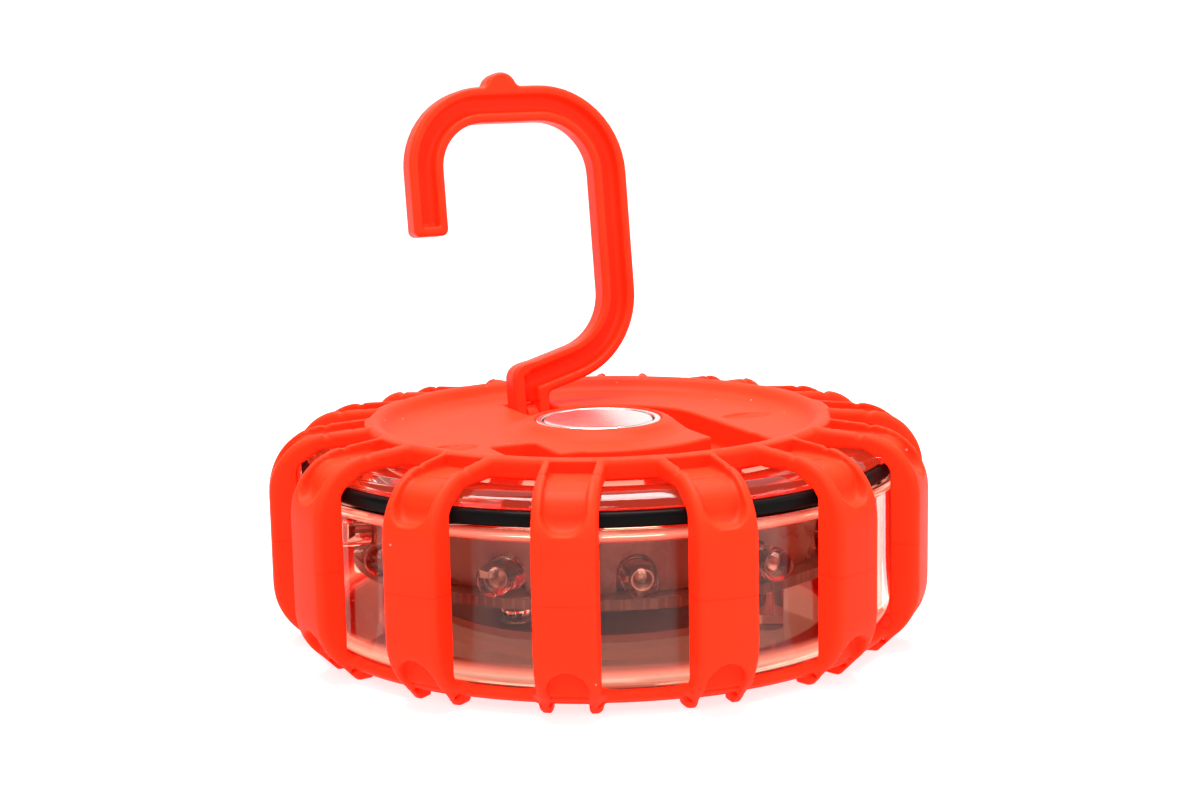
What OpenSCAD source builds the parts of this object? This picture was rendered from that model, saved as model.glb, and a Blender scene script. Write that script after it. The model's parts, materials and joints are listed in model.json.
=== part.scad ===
// Round LED road flare: a clear sealed case with side-firing and downward LEDs, held in a soft ribbed
// jacket, with a pot magnet on top and a fold-out hanging hook.
// +Z is up, the origin is at the centre of the resting plane, and the hook folds towards -Y.

/* [Body] */
// Outer diameter over the ribs
body_d = 105; // [104:0.5:106]
// Height from the rib feet to the top of the rim
body_h = 34.8; // [34.6:0.1:35.2]
// Height of the mould parting line
parting_z = 17.3; // [17:0.1:17.6]

/* [Jacket] */
// Number of ribs around the jacket
rib_count = 14; // [14:1:14]
// Width of one rib
rib_w = 9.2; // [8.6:0.1:9.6]
// Turn of the rib pattern about the vertical axis, from the hook's folding direction
rib_phase = -4; // [-12:1:12]
// Radius of the rim's outer wall between the ribs
rim_r = 36.9; // [36.7:0.1:37.4]
// Radius of the sunken top floor
floor_r = 33; // [32.5:0.1:33.2]
// Depth of the sunken top floor below the rim
floor_drop = 2.2; // [2.1:0.1:2.3]
// Radius of the island round the magnet
island_r = 20; // [18:0.5:21]

/* [Case] */
// Outer radius of the clear case wall
case_r = 46.2; // [46:0.1:46.4]
// Thickness of the clear case wall
case_wall = 1.8; // [1.6:0.1:2]
// Underside of the case
case_z = 2.7; // [2.6:0.1:2.8]

/* [Magnet] */
// Outer radius of the steel cup
cup_r = 10; // [9.8:0.1:10.1]
// Height of the steel cup
cup_h = 6.4; // [6:0.1:6.5]

/* [Hook] */
// Width of the hook's bar
bar_w = 6; // [5.8:0.1:6.1]
// Thickness of the hook's bar
bar_t = 4.2; // [4:0.1:4.2]
// Backward lean of the raised hook, in degrees
hook_lean = 8; // [6:1:9]
// Radius of the hinge pin
pin_r = 1; // [0.9:0.05:1]

/* [Electronics] */
// Number of side LEDs
led_count = 12; // [12:1:12]
// Turn of the side LED pattern, from the hook's folding direction
led_phase = -16; // [-18:1:-12]
// Radius of an LED lens
led_r = 2.5; // [2.4:0.05:2.5]
// Top of the circuit board
board_z = 14.9; // [14.8:0.1:15]
// Diameter of a battery cell
cell_d = 10.5; // [10.3:0.1:10.5]
// Body length of a battery cell
cell_len = 43.3; // [43:0.1:43.7]

/* [Hidden] */
$fn = 96;
gap = 0.12;
body_r = body_d / 2;
jacket_in_r = 48;
shoulder_z = 24.5;
shoulder_r = 9.6;
floor_z = body_h - floor_drop;
slab_z = 27.5;
slot_z = 28.2;
slot_r = 34.6;
lid_rim_z = 31.5;
lid_face_z = slab_z - gap;
lid_t = 1.3;
flange_z = 25.2;
flange_r = 47.4;
gasket_r = 47.2;
lid_edge_r = 46.2;
gasket_z = 27;
gasket_h = 2.2;
ring_z = 1.5;
ring_in_r = 36;
ring_out_r = 47.2;
ring_top = 3.5;
pocket_half = 3.3;
led_pitch = 360 / led_count;

// Hook outline: the centre line of the bar, in the hook's own plane, with the pin at (0, 0)
axis_y = 23.3;
axis_z = 30.6;
foot_x = -2.3;
foot_w = 6.4;
lug_w = 1.8;
lug_r = 2;
prong_gap = lug_w + 0.4;
foot_top = 9.1;
foot_round = 2.6;
low_h = 8.15;
low_slope = 16;
low_reach = 8;
arm_x = 15.2;
big_r = 12.3;
bend_x = arm_x - big_r;
top_h = 52.65;
tip_bend_r = 10.4;
tip_x = -17.8;
tip_bend_x = tip_x + tip_bend_r;
tip_h = 31.3;
nub_x = -3.5;
nub_r = 2.8;
nub_top = 58;
hook_clear = 0.45;
channel_w = 2.7;
channel_d = 2.4;

// Battery tray and board
board_r = 39.6;
board_t = 1.6;
tray_r = 36.4;
tray_wall = 1.2;
tray_h = 10.6;
tray_floor = 0.5;
cell_z = board_z + tray_floor + gap + cell_d / 2;
cell_pitch = 11;
nub_d = 3.8;
nub_len = 1;
contact_y = cell_len / 2 + nub_len + 0.05;
spring_end_y = 23.85;
plate_t = 0.4;
plate_h = 9;
white_led_r = 22;
white_led_turn = 60;
led_z = board_z + led_r + 0.4;
led_tip_r = 43.4;
led_len = 8.4;
white_led_len = 7.6;
led_flange_r = led_r + 0.3;
lead_r = 0.3;
lead_x = 1.27;
button_r = 8;
button_hole_r = 8.2;
button_top_z = 6.3;
switch_z = 9.6;

// Outline helpers
function arc_points(cx, cz, r, from, to, steps) =
    [for (i = [0:steps]) let (a = from + (to - from) * i / steps) [cx + r * cos(a), cz + r * sin(a)]];

// Outer shape of a rib in section: feet, upright side, a round shoulder and the run to the rim
function rib_outline() = concat(
    [[43.6, 0], [46.4, 0]],
    arc_points(body_r - 10, 10.4, 10, -50, 0, 8),
    arc_points(body_r - shoulder_r, shoulder_z, shoulder_r, 0, 84, 14),
    [[rim_r + gap / 2, body_h - 0.2]]
);

module around(count, phase = 0) {
    for (i = [0:count - 1]) {
        rotate([0, 0, phase + i * 360 / count]) children();
    }
}

// A slab across the whole width of one rib, pointing along -Y
module rib_plan(width) {
    translate([-width / 2, -70]) square([width, 70]);
}

// One long side of the hook's bar: from the foot up the slope, round the bends and down to the tip
function bar_side(offset, end_h) =
    let (turn = low_slope - 90, r = big_r + offset)
    concat(
        [[bend_x + r * cos(turn) - low_reach * cos(low_slope),
          low_h + big_r + r * sin(turn) - low_reach * sin(low_slope)]],
        arc_points(bend_x, low_h + big_r, r, turn, 0, 12),
        arc_points(bend_x, top_h - big_r, r, 0, 90, 14),
        arc_points(tip_bend_x, top_h - tip_bend_r, tip_bend_r + offset, 90, 180, 14),
        [[tip_x - offset, end_h]]
    );

function backwards(list) = [for (i = [len(list) - 1:-1:0]) list[i]];

// The hook's bar in its own plane
module hook_bar_outline(width, end_h) {
    polygon(concat(bar_side(width / 2, end_h), backwards(bar_side(-width / 2, end_h))));
}

// The hook's whole outline, grown by extra
module hook_outline(extra) {
    x0 = foot_x - foot_w / 2 - extra;
    x1 = foot_x + foot_w / 2 + extra;
    hook_bar_outline(bar_w + 2 * extra, tip_h - extra);
    polygon(concat(
        [[x0, -extra], [x1, -extra], [x1, foot_top - 1], [x0 + foot_round + 1, foot_top + extra]],
        arc_points(x0 + extra + foot_round, foot_top - foot_round, foot_round + extra, 90, 180, 8)
    ));
    translate([nub_x, nub_top - nub_r]) circle(r = nub_r + extra);
}

// The slot that takes the folded hook, open in front of the island
module slot_plan() {
    translate([0, axis_y]) mirror([0, 1]) hook_outline(hook_clear);
    difference() {
        intersection() {
            circle(r = slot_r);
            translate([tip_x - bar_w / 2 - hook_clear, -slot_r])
                square([arm_x - tip_x, slot_r - 17]);
        }
        circle(r = island_r);
    }
    intersection() {
        circle(r = slot_r);
        translate([tip_x - bar_w / 2 - hook_clear, -slot_r])
            square([bar_w + 2 * hook_clear, slot_r + axis_y - tip_h + hook_clear]);
    }
}

module pit_plan() {
    translate([foot_x - foot_w / 2 - hook_clear, 20]) square([foot_w + 2 * hook_clear, 5.9]);
}

// ---- Jacket ----
module jacket_crown() {
    color("orangered") difference() {
        rotate_extrude() polygon([
            [0, slab_z], [rim_r - 0.6, slab_z], [rim_r - 0.6, lid_rim_z + gap], [rim_r, lid_rim_z + gap],
            [rim_r, body_h - 0.6], [rim_r - 0.6, body_h], [floor_r + 2, body_h], [floor_r, floor_z],
            [13.4, floor_z], [11, floor_z + 1.5], [0, floor_z + 1.5]
        ]);
        translate([0, 0, slab_z - 1]) cylinder(r = cup_r + gap, h = 12);
        translate([0, 0, slot_z]) linear_extrude(12) slot_plan();
        translate([0, 0, slab_z - 1]) linear_extrude(12) pit_plan();
        bracket_space();
    }
}

// The room under the crown for the bracket's strip and its screwed pads
module bracket_space() {
    translate([foot_x - 4.2, 15, slab_z - 1]) cube([8.4, 14.5, 1.9]);
}

// The scoop's floor in section: it leaves a wall outside the lid and runs out to the rib's face
scoop_floor = [
    [43.4, floor_z - 0.1], [46.6, 32.4], [48.2, 31.2], [48.9, 29.6], [49.6, 28.4], [50.8, 27.4], [54, 26.2],
    [60, 26], [60, 50], [43.4, 50]
];

module scoop_section() {
    scoop_r = 3.1;
    translate([0, 26.9 + scoop_r]) circle(r = scoop_r);
    translate([-scoop_r, 26.9 + scoop_r]) square([2 * scoop_r, 20]);
}

// The back of the arch recess in section: it leaves a wall outside the case and the base ring
arch_back = [
    [ring_out_r + gap / 2, -1], [ring_out_r + gap / 2, 1.9], [48.8, 3.6], [49.3, 8.5], [60, 8.5], [60, -1]
];

module arch_section() {
    arch_r = 2.9;
    translate([0, 7.7 - arch_r]) circle(r = arch_r);
    translate([-arch_r, -5]) square([2 * arch_r, 12.7 - arch_r]);
}

// One rib: an upright bar with a grip scoop at the top and an arch between its two feet
module rib() {
    difference() {
        intersection() {
            rotate_extrude() polygon(concat(rib_outline(), [
                [rim_r + gap / 2, lid_rim_z + gap], [lid_edge_r - 2.4, lid_rim_z + gap],
                [lid_edge_r + 0.4, 29.9], [gasket_r + 0.3, gasket_z + gasket_h + gap],
                [jacket_in_r, 28.4], [jacket_in_r, ring_top],
                [ring_out_r + gap / 2, ring_top], [ring_out_r + gap / 2, ring_z], [43.6, ring_z]
            ]));
            linear_extrude(body_h + 5) rib_plan(rib_w);
        }
        intersection() {
            rotate_extrude() polygon(scoop_floor);
            translate([0, -40, 0]) rotate([90, 0, 0]) linear_extrude(20) scoop_section();
        }
        translate([-pocket_half, -43.6, floor_z]) cube([2 * pocket_half, 7.8, 9]);
        intersection() {
            rotate_extrude() polygon(arch_back);
            translate([0, -40, 0]) rotate([90, 0, 0]) linear_extrude(20) arch_section();
        }
        translate([-2.6, -50, -1]) cube([5.2, 12, 1 + ring_z]);
    }
}

// The ribs, relieved where the lid's grips pass under them
module jacket_ribs() {
    color("orangered") difference() {
        around(rib_count, rib_phase) rib();
        around(4, 45) lid_grip(gap);
    }
}

module jacket_base_ring() {
    color("orangered") rotate_extrude() polygon([
        [ring_in_r, ring_z], [ring_out_r - 1, ring_z], [ring_out_r, ring_z + 1], [ring_out_r, ring_top],
        [case_r - 0.6, ring_top], [case_r - 2, case_z - gap], [ring_in_r, case_z - gap]
    ]);
}

// ---- Clear case ----
module case_body() {
    inner = case_r - case_wall;
    color("lightgray", 0.35) difference() {
        rotate_extrude() polygon(concat(
            [[button_hole_r + gap, case_z]],
            arc_points(case_r - 3.2, case_z + 3.2, 3.2, -90, 0, 10),
            [[case_r, flange_z], [flange_r, flange_z], [flange_r, flange_z + 0.7]],
            [[flange_r - 0.4, flange_z + 0.85], [flange_r, flange_z + 1]],
            [[flange_r, gasket_z - gap], [inner, gasket_z - gap]],
            arc_points(inner - 1.6, case_z + 3.4, 1.6, 0, -90, 8),
            [[button_hole_r + gap, case_z + 1.8]]
        ));
    }
    color("lightgray", 0.35) around(3, 30) translate([0, -31, case_z + 1.7]) case_post();
}

// A post that carries the circuit board
module case_post() {
    post_h = board_z - board_t - gap - case_z - 1.7;
    difference() {
        cylinder(r = 2.6, h = post_h);
        translate([0, 0, 2]) cylinder(r = 0.95, h = post_h);
    }
}

module case_lid() {
    skirt_r = case_r - case_wall - gap;
    color("lightgray", 0.35) rotate_extrude() polygon([
        [0, lid_face_z - lid_t], [37.4, lid_face_z - lid_t], [skirt_r - 1.6, lid_face_z - 0.4],
        [skirt_r - 1.6, 24.4], [skirt_r, 24.4], [skirt_r, gasket_z + gasket_h + gap],
        [lid_edge_r, gasket_z + gasket_h + gap], [lid_edge_r, 29.8], [lid_edge_r - 2.6, lid_rim_z],
        [rim_r - 0.4, lid_rim_z], [rim_r - 0.4, lid_face_z], [0, lid_face_z]
    ]);
    // Four grips on the rim for turning the lid
    color("lightgray", 0.35) around(4, 45) lid_grip(0);
}

// One grip, or with room the space round it
module lid_grip(room) {
    grip_w = 6.6 + 2 * room;
    intersection() {
        difference() {
            translate([0, 0, gasket_z + gasket_h + 0.3 - room])
                cylinder(r = lid_edge_r + 0.8 + room, h = 1.2 + 2 * room);
            cylinder(r = lid_edge_r - 0.6 - room, h = 40);
        }
        translate([-grip_w / 2, -60, 0]) cube([grip_w, 60, 40]);
    }
}

module lid_gasket() {
    color("black") translate([0, 0, gasket_z]) difference() {
        cylinder(r = gasket_r, h = gasket_h);
        translate([0, 0, -1]) cylinder(r = case_r - case_wall, h = gasket_h + 2);
    }
}

// ---- Magnet ----
module magnet_cup() {
    top = slab_z + cup_h;
    color("silver") translate([0, 0, slab_z]) difference() {
        cylinder(r = cup_r, h = cup_h);
        translate([0, 0, 1.4]) cylinder(r = cup_r - 1, h = top);
    }
}

module magnet_disc() {
    color("gainsboro") translate([0, 0, slab_z + 1.4]) rotate_extrude() polygon([
        [0, 0], [cup_r - 1.25, 0], [cup_r - 1.25, cup_h - 1.7],
        [cup_r - 1.55, cup_h - 1.4], [0, cup_h - 1.4]
    ]);
}

// ---- Hook and hinge ----
module hinge_bracket() {
    strip_t = 0.7;
    color("orangered") difference() {
        union() {
            translate([foot_x - 4, 15.2, slab_z]) cube([8, 4.2, strip_t]);
            translate([foot_x - 4, 26.1, slab_z]) cube([8, 3.2, strip_t]);
            translate([foot_x - lug_w / 2, 15.2, slab_z]) cube([lug_w, 14.1, strip_t]);
            translate([foot_x - lug_w / 2, axis_y - lug_r, slab_z])
                cube([lug_w, 2 * lug_r, axis_z - slab_z]);
            translate([foot_x - lug_w / 2, axis_y, axis_z]) rotate([0, 90, 0])
                cylinder(r = lug_r, h = lug_w);
        }
        translate([foot_x - 10, axis_y, axis_z]) rotate([0, 90, 0]) cylinder(r = pin_r, h = 20);
        for (y = [17.3, 27.8]) {
            translate([foot_x, y, slab_z - 1]) cylinder(r = 0.8, h = 4);
        }
    }
}

module bracket_screws() {
    color("silver") for (y = [17.3, 27.8]) {
        translate([foot_x, y, slab_z + 0.7]) cylinder(r = 1.2, h = 0.15);
        translate([foot_x, y, slab_z]) cylinder(r = 0.8, h = 0.8);
    }
}

module hook_pin() {
    color("silver") translate([foot_x - foot_w / 2 + 0.2, axis_y, axis_z]) rotate([0, 90, 0])
        cylinder(r = pin_r, h = foot_w - 0.4);
}

// The hook, drawn in its own plane and then stood up with its lean
module hook() {
    color("orangered") translate([0, axis_y, axis_z]) rotate([90 - hook_lean, 0, 0]) difference() {
        union() {
            translate([0, 0, -bar_t / 2]) linear_extrude(bar_t) hook_outline(0);
            translate([foot_x - foot_w / 2, 0, 0]) rotate([0, 90, 0]) cylinder(r = bar_t / 2, h = foot_w);
        }
        // Moulded channel along the front face
        translate([0, 0, bar_t / 2 - channel_d]) linear_extrude(bar_t) {
            difference() {
                hook_bar_outline(channel_w, tip_h + 1.6);
                translate([foot_x - prong_gap / 2 - 20, -10]) square([20, 30]);
            }
            translate([foot_x - prong_gap / 2, 0]) square([prong_gap, foot_top - 2.2]);
        }
        // Gap between the two prongs, over the bracket's lug
        translate([foot_x - prong_gap / 2, -5, -5]) cube([prong_gap, 5 + lug_r + 0.5, 10]);
        translate([foot_x - 10, 0, 0]) rotate([0, 90, 0]) cylinder(r = pin_r + 0.05, h = 20);
    }
}

// ---- Circuit board and what is on it ----
module main_board() {
    color("seagreen") translate([0, 0, board_z - board_t]) difference() {
        cylinder(r = board_r, h = board_t);
        around(3, 30) translate([0, -31, -1]) cylinder(r = 1.2, h = 4);
    }
}

module board_screws() {
    color("silver") around(3, 30) translate([0, -31, 0]) {
        translate([0, 0, board_z]) cylinder(r = 1.9, h = 0.45);
        translate([0, 0, board_z - 5]) cylinder(r = 0.9, h = 5.1);
    }
}

module driver_chip() {
    color("dimgray") translate([-2, 11, board_z - board_t - 1.6]) cube([5, 4, 1.6]);
}

module chip_resistors() {
    color("black") for (x = [-9:3:9]) {
        translate([x, -14, board_z - board_t - 0.5]) cube([1.6, 0.9, 0.5]);
    }
}

module filter_capacitor() {
    color("steelblue") translate([-13, 9, board_z - board_t - 5.2]) cylinder(r = 2.5, h = 5.2);
}

module tact_switch() {
    color("dimgray") difference() {
        translate([-3, -3, switch_z]) cube([6, 6, board_z - board_t - switch_z]);
        translate([0, 0, switch_z - 1]) cylinder(r = 1.8, h = 2.2);
    }
}

module switch_plunger() {
    color("white") translate([0, 0, button_top_z + 0.05])
        cylinder(r = 1.7, h = switch_z + 0.5 - button_top_z);
}

// The button's face is level with the case's underside, and its flange sits inside the case
module power_button() {
    color("orangered") rotate_extrude() polygon([
        [0, case_z + 0.2], [3.6, case_z + 0.1], [button_r - 0.9, case_z - 0.5],
        [button_r - 0.2, case_z - 0.1], [button_r, case_z + 0.3], [button_r, case_z + 1.95],
        [button_r + 1.3, case_z + 1.95],
        [button_r + 1.3, button_top_z], [0, button_top_z]
    ]);
}

module button_retainer() {
    color("white") translate([0, 0, case_z + 1.8]) difference() {
        cylinder(r = 12, h = 2.3);
        translate([0, 0, -1]) cylinder(r = button_r + 1.6, h = 5);
    }
}

module down_reflector() {
    color("whitesmoke") difference() {
        rotate_extrude() polygon([
            [13, case_z + 2.3], [27.5, case_z + 2.3], [27.5, case_z + 3.5], [13, case_z + 3.5]
        ]);
        around(3, white_led_turn) translate([0, -white_led_r, 0]) cylinder(r = led_r + 0.15, h = 20);
    }
}

// ---- Cells and contacts ----
// Each LED stands in a slot of the tray's wall that is open at the bottom
module led_slot() {
    slot_half = led_flange_r + 0.15;
    translate([0, 3, led_z]) rotate([90, 0, 0]) cylinder(r = slot_half, h = 6);
    translate([-slot_half, -3, board_z]) cube([2 * slot_half, 6, led_z - board_z]);
}

module battery_tray() {
    color("dimgray", 0.6) difference() {
        union() {
            difference() {
                translate([0, 0, board_z + gap]) cylinder(r = tray_r, h = tray_h);
                translate([0, 0, board_z + tray_floor]) cylinder(r = tray_r - tray_wall, h = tray_h + 1);
            }
            // Two walls behind the contact plates
            for (side = [-1, 1]) {
                translate([-16.4, side * (spring_end_y + plate_t + 0.65) - 0.6, board_z + gap])
                    cube([32.8, 1.2, plate_h]);
            }
        }
        around(led_count, led_phase) translate([0, -tray_r, 0]) led_slot();
        around(3, 30) translate([0, -31, board_z]) cylinder(r = 2.3, h = 12);
    }
}

module battery(i) {
    turn = i == 2 ? 180 : 0;
    color("darkgray") translate([(i - 2) * cell_pitch, 0, cell_z]) rotate([0, 0, turn]) {
        translate([0, cell_len / 2, 0]) rotate([90, 0, 0]) cylinder(r = cell_d / 2, h = cell_len);
        translate([0, cell_len / 2 + nub_len, 0]) rotate([90, 0, 0])
            cylinder(r = nub_d / 2, h = nub_len + 1);
    }
}

// Each spring presses on the flat end of a cell
module contact_springs() {
    turns = 4;
    wire_r = 0.3;
    color("silver") for (i = [0:2]) {
        side = i == 1 ? 1 : -1;
        translate([(i - 1) * cell_pitch, side * (cell_len / 2 + 0.05), cell_z]) rotate([-90 * side, 0, 0])
            for (k = [0:turns - 1]) {
                translate([0, 0, wire_r + k * 0.5]) rotate_extrude()
                    translate([2.2 + 0.2 * k, 0]) circle(r = wire_r);
            }
    }
}

// A strip across the cells' ends, with its inner face at distance y from the middle
module end_strip(x, y, side, width) {
    translate([x - width / 2, side * (y + plate_t / 2) - plate_t / 2, board_z + 0.6])
        cube([width, plate_t, plate_h]);
}

// Each contact plate has a raised button that meets a cell's terminal
module contact_plates() {
    color("silver") for (i = [0:2]) {
        side = i == 1 ? -1 : 1;
        x = (i - 1) * cell_pitch;
        end_strip(x, spring_end_y - plate_t - 0.05, side, 8);
        translate([x, side * contact_y, cell_z]) rotate([-90 * side, 0, 0])
            cylinder(r = 1.8, h = 0.8);
    }
}

// Two strips that join neighbouring cells, and the strip of the last cell's spring
module link_plate() {
    color("silver") {
        end_strip(-cell_pitch / 2, spring_end_y, -1, 19);
        end_strip(cell_pitch / 2, spring_end_y, 1, 19);
        end_strip(cell_pitch + 1, spring_end_y, -1, 8);
    }
}

// ---- LEDs ----
module led_shape(length) {
    cylinder(r = led_flange_r, h = 1);
    cylinder(r = led_r, h = length - led_r);
    translate([0, 0, length - led_r]) sphere(r = led_r);
}

module side_led(i) {
    color("white", 0.5) rotate([0, 0, led_phase + (i - 1) * led_pitch])
        translate([0, -(led_tip_r - led_len), led_z]) rotate([90, 0, 0]) led_shape(led_len);
}

module led_leads() {
    color("silver") around(led_count, led_phase) for (s = [-1, 1]) {
        translate([s * lead_x, -(led_tip_r - led_len) + 0.05, led_z]) {
            rotate([-90, 0, 0]) cylinder(r = lead_r, h = 0.6);
            translate([0, 0.6, board_z - led_z]) cylinder(r = lead_r, h = led_z - board_z + lead_r);
        }
    }
}

module white_led(i) {
    color("white", 0.5) rotate([0, 0, white_led_turn + (i - 1) * 120])
        translate([0, -white_led_r, board_z - board_t]) mirror([0, 0, 1]) led_shape(white_led_len);
}

jacket_crown();
jacket_ribs();
jacket_base_ring();
case_body();
case_lid();
lid_gasket();
magnet_cup();
magnet_disc();
hinge_bracket();
bracket_screws();
hook_pin();
hook();
main_board();
driver_chip();
chip_resistors();
filter_capacitor();
board_screws();
tact_switch();
switch_plunger();
power_button();
button_retainer();
battery_tray();
for (i = [1:3]) {
    battery(i);
}
contact_springs();
contact_plates();
link_plate();
led_leads();
down_reflector();
for (i = [1:led_count]) {
    side_led(i);
}
for (i = [1:3]) {
    white_led(i);
}
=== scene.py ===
"""Round LED road flare: looks for the clear sealed case, its ribbed soft jacket, the pot magnet and the hook.

Laid out as an add-on and run as a script. Lengths inside the functions are millimetres in the part's own
frame (+Z up, origin at the middle of the resting plane); meshes are written in metres.
"""
import json
import math

import bpy
import numpy as np
from mathutils import Matrix, Vector

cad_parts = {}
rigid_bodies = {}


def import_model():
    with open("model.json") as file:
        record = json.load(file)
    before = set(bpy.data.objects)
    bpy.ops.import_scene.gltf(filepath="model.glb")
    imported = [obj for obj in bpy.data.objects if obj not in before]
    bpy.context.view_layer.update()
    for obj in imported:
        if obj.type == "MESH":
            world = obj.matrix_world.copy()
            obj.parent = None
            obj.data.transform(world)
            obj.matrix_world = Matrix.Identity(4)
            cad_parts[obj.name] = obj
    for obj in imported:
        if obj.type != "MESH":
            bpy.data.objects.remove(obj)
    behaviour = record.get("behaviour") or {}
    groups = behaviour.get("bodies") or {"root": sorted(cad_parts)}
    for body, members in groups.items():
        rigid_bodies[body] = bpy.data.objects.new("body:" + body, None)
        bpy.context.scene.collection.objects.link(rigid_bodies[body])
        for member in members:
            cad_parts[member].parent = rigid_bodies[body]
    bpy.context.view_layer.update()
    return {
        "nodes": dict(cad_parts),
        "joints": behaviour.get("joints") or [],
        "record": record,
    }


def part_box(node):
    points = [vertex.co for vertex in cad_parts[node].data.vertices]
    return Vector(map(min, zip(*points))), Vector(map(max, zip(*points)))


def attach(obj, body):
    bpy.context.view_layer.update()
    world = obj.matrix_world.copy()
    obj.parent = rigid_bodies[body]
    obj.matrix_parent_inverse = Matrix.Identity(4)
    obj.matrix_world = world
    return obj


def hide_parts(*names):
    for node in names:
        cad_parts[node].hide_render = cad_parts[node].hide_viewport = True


bl_info = {
    "name": "Road flare looks",
    "version": (1, 0, 0),
    "blender": (4, 5, 0),
    "location": "View3D > Sidebar > Flare",
    "description": "Builds the jacket, hook, clear case, magnet and lamps of a round LED road flare",
    "category": "Object",
}

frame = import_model()
MM = 0.001


def box_mm(node):
    """A node's lowest and highest corners, in millimetres."""
    low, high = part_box(node)
    return np.array(low) / MM, np.array(high) / MM


crown_low, crown_high = box_mm("jacket_crown")
ribs_high = box_mm("jacket_ribs")[1]
ring_low, ring_high = box_mm("jacket_base_ring")
case_low, case_high = box_mm("case_body")
gasket_low, gasket_high = box_mm("lid_gasket")
lid_high = box_mm("case_lid")[1]
cup_low, cup_high = box_mm("magnet_cup")
disc_low, disc_high = box_mm("magnet_disc")
pin_low, pin_high = box_mm("hook_pin")
board_low = box_mm("main_board")[0]
BODY = next(j["parent"] for j in frame["joints"] if j["name"] == "hook_fold")
HOOK = "hook"
SHARP_ANGLE = math.radians(35.0)
FAR = 99.0


# ---------------------------------------------------------------- settings
def metres(name, description, default):
    """A setting in metres."""
    return bpy.props.FloatProperty(name=name, description=description, default=default, unit="LENGTH")


def colour_of(name, description, default):
    """A colour setting."""
    return bpy.props.FloatVectorProperty(
        name=name, description=description, subtype="COLOR", size=3, default=default)


class FlareSizes(bpy.types.PropertyGroup):
    """Sizes of the flare's looks, in metres"""

    rib_width: metres("Rib width", "Width of one rib", 0.0092)
    rib_count: bpy.props.IntProperty(name="Ribs", description="Number of ribs", default=14)
    rib_edge: metres("Rib edge", "Rounding of the ribs' edges", 0.0010)
    rim_fillet: metres("Rim fillet", "Rounding where a rib meets the rim", 0.0009)
    grid_step: metres("Grid step", "Cell size of the moulded surfaces", 0.0005)
    hook_edge: metres("Hook edge", "Rounding of the hook's edges", 0.0007)
    lamp_steps: bpy.props.IntProperty(name="Lamp steps", description="Facets round a lamp lens", default=40)


class FlareColours(bpy.types.PropertyGroup):
    """Colours of the flare's looks"""

    jacket: colour_of("Jacket", "Colour of the soft jacket and hook", (1.0, 0.030, 0.005))
    # painted light: the case's reddish tint stands in for the jacket's orange light bounced through the case and
    # lid, whose plastic is clear
    case: colour_of("Case", "Tint of the clear case", (1.0, 0.66, 0.56))
    tray: colour_of("Tray", "Colour of the battery tray", (0.28, 0.11, 0.075))
    floor: colour_of("Floor", "Colour of the studio floor", (0.35, 0.35, 0.35))


# ---------------------------------------------------------------- shape helpers
def rounded_and(a, b, k):
    """Distance to what two solids share, with the edge between them rounded to radius k."""
    return np.minimum(np.maximum(a, b), -k) + np.hypot(np.maximum(a + k, 0), np.maximum(b + k, 0))


def filleted_or(a, b, k):
    """Distance to two solids joined, with the corner between them filled to radius k."""
    return np.maximum(np.minimum(a, b), k) - np.hypot(np.maximum(k - a, 0), np.maximum(k - b, 0))


def to_side(x, y, ax, ay, ex, ey):
    """Squared distance to one straight side from (ax, ay) along (ex, ey)."""
    t = np.clip(((x - ax) * ex + (y - ay) * ey) / (ex * ex + ey * ey), 0, 1)
    return (x - ax - t * ex) ** 2 + (y - ay - t * ey) ** 2


def outline_distance(points, x, y):
    """Distance to a closed outline, negative inside: the nearest point over its straight sides, with the
    sign from how many sides a ray crosses."""
    ring = np.asarray(points, float)
    nearest = np.inf
    inside = np.zeros(np.broadcast(x, y).shape, bool)
    for (ax, ay), (bx, by) in zip(ring, np.roll(ring, -1, axis=0)):
        ex, ey = bx - ax, by - ay
        nearest = np.minimum(nearest, to_side(x, y, ax, ay, ex, ey))
        if ey:
            inside ^= ((ay > y) != (by > y)) & (x < ex * (y - ay) / ey + ax)
    return np.where(inside, -1.0, 1.0) * np.sqrt(nearest)


def path_distance(points, x, y):
    """Distance to an open path: the nearest point over its straight pieces."""
    nearest = np.inf
    for (ax, ay), (bx, by) in zip(points[:-1], points[1:]):
        nearest = np.minimum(nearest, to_side(x, y, ax, ay, bx - ax, by - ay))
    return np.sqrt(nearest)


def arc(cx, cy, r, start, end, steps):
    """Points on a circle from one angle to another."""
    t = np.radians(np.linspace(start, end, steps + 1))
    return np.stack([cx + r * np.cos(t), cy + r * np.sin(t)], axis=1)


def box_distance(x, y, cx, cy, half_x, half_y):
    """Distance to an upright rectangle, negative inside."""
    dx, dy = np.abs(x - cx) - half_x, np.abs(y - cy) - half_y
    return np.minimum(np.maximum(dx, dy), 0) + np.hypot(np.maximum(dx, 0), np.maximum(dy, 0))


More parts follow.
